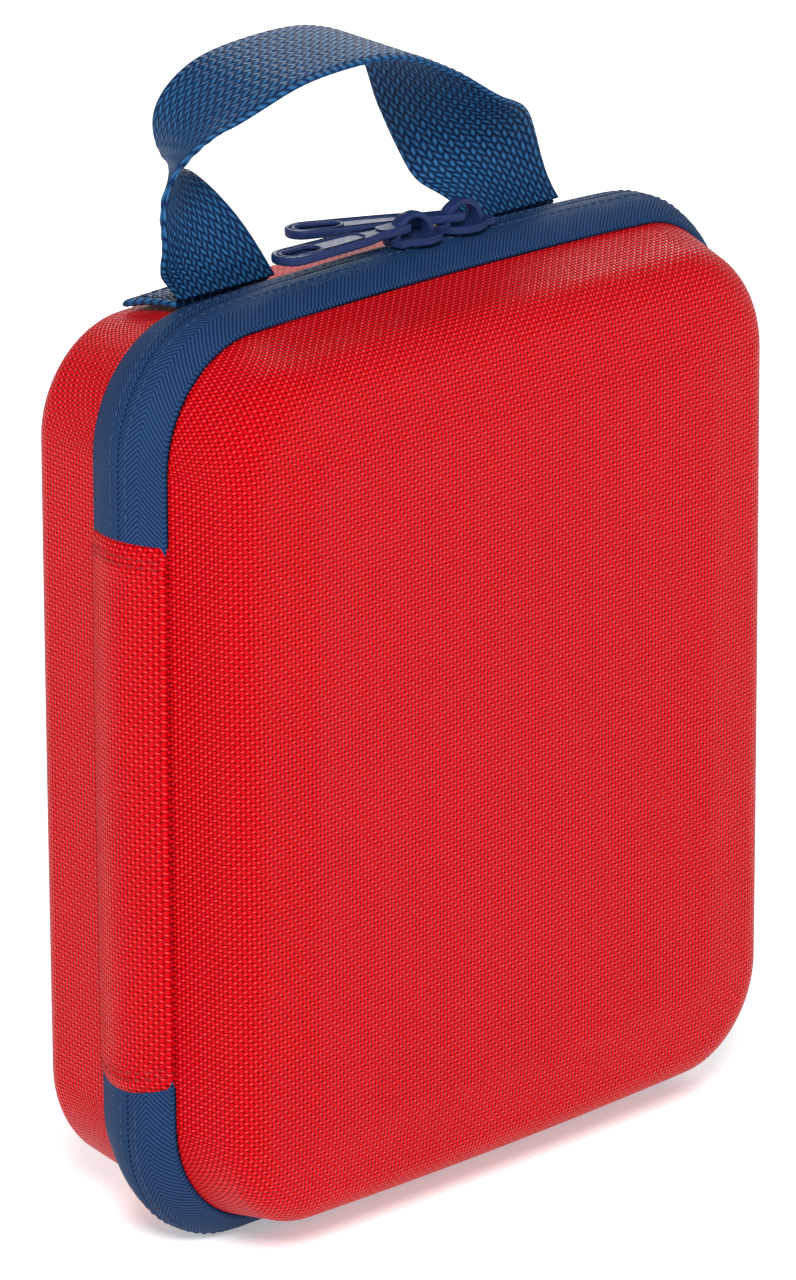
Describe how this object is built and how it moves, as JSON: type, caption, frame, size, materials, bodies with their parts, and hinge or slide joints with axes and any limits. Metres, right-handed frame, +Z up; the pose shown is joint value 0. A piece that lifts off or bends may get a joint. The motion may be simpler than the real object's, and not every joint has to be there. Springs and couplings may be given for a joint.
{
  "type": "first aid kit",
  "caption": "Hard shell first aid case in red woven nylon, closed by a zip all round, with a webbing carry handle and packed supplies inside.",
  "frame": {"origin": "Centre of the closed kit's box in X and Y, at the lowest point of its zip band in Z.", "axes": "+Z up with the kit standing on its bottom edge, -Y towards the front shell, +X to the right seen from the front, hinge on the -X side."},
  "size_m": [0.1576, 0.06, 0.2217],
  "materials": {
    "red_nylon": "coarse woven nylon with a low sheen",
    "lining_fabric": "fine plain weave",
    "binding_tape": "ribbed grosgrain tape",
    "zip_tape": "fine twill tape",
    "zip_coil": "satin nylon coil",
    "navy_enamel": "glossy navy enamel",
    "blue_webbing": "heavy ribbed polypropylene webbing",
    "wrapper_paper": "matte wrapper paper",
    "blue_film": "glossy plastic film",
    "green_film": "glossy plastic film",
    "silver_film": "metallised film",
    "gauze": "open crepe weave",
    "net": "open knitted net",
    "elastic": "ribbed woven elastic",
    "steel": "brushed stainless steel"
  },
  "bodies": {
    "rear_case": {"rear_shell": "red_nylon", "rear_lining": "lining_fabric", "rear_seam_binding": "binding_tape", "rear_zip_tape": "zip_tape", "rear_zip_coil": "zip_coil", "hinge_panel": "red_nylon", "strap_tail_left": "blue_webbing", "strap_tail_right": "blue_webbing", "triangular_bandage_pack": "wrapper_paper", "cold_pack": "blue_film", "gauze_pad_pack": "green_film", "gloves_pack": "wrapper_paper", "bandage_roll_large": "gauze", "bandage_roll_small": "gauze", "tape_roll": "gauze", "elastic_strap_upper": "elastic", "elastic_strap_lower": "elastic"},
    "front_case": {"front_shell": "red_nylon", "front_lining": "lining_fabric", "front_seam_binding": "binding_tape", "front_zip_tape": "zip_tape", "front_zip_coil": "zip_coil", "wipes_pack": "green_film", "plaster_pack": "wrapper_paper", "foil_blanket_pack": "silver_film", "mesh_pocket": "net", "pocket_binding": "elastic", "scissor_blade_lower": "steel", "scissor_rivet": "steel", "tweezers": "steel", "elastic_loop_left": "elastic", "elastic_loop_right": "elastic"},
    "slider_left": {"slider_left": "navy_enamel"},
    "slider_right": {"slider_right": "navy_enamel"},
    "pull_left": {"pull_left": "navy_enamel"},
    "pull_right": {"pull_right": "navy_enamel"},
    "handle": {"handle_loop": "blue_webbing"},
    "scissor_half": {"scissor_blade_upper": "steel"}
  },
  "joints": [
    {"name": "lid_hinge", "type": "hinge", "parent": "rear_case", "child": "front_case", "pos_m": [-0.0788, -0.00305, 0.09], "axis": [0, 0, -1], "range_deg": [0, 180]},
    {"name": "slider_left_run", "type": "slide", "parent": "rear_case", "child": "slider_left", "axis": [-1, 0, 0], "range_m": [0, 0.02]},
    {"name": "slider_right_run", "type": "slide", "parent": "rear_case", "child": "slider_right", "axis": [1, 0, 0], "range_m": [0, 0.012]},
    {"name": "pull_left_swing", "type": "hinge", "parent": "slider_left", "child": "pull_left", "pos_m": [-0.00385, -0.00285, 0.1852], "axis": [0, 1, 0], "range_deg": [0, 60]},
    {"name": "pull_right_swing", "type": "hinge", "parent": "slider_right", "child": "pull_right", "pos_m": [0.00935, -0.0047, 0.1852], "axis": [0, 1, 0], "range_deg": [0, 60]},
    {"name": "handle_fold", "type": "hinge", "parent": "rear_case", "child": "handle", "pos_m": [0, 0.00675, 0.1792], "axis": [-1, 0, 0], "range_deg": [0, 26], "stiffness_Nm_per_rad": 0.05},
    {"name": "scissor_pivot", "type": "hinge", "parent": "front_case", "child": "scissor_half", "pos_m": [-0.004, -0.02095, 0.1288], "axis": [0, 1, 0], "range_deg": [0, 25]}
  ]
}
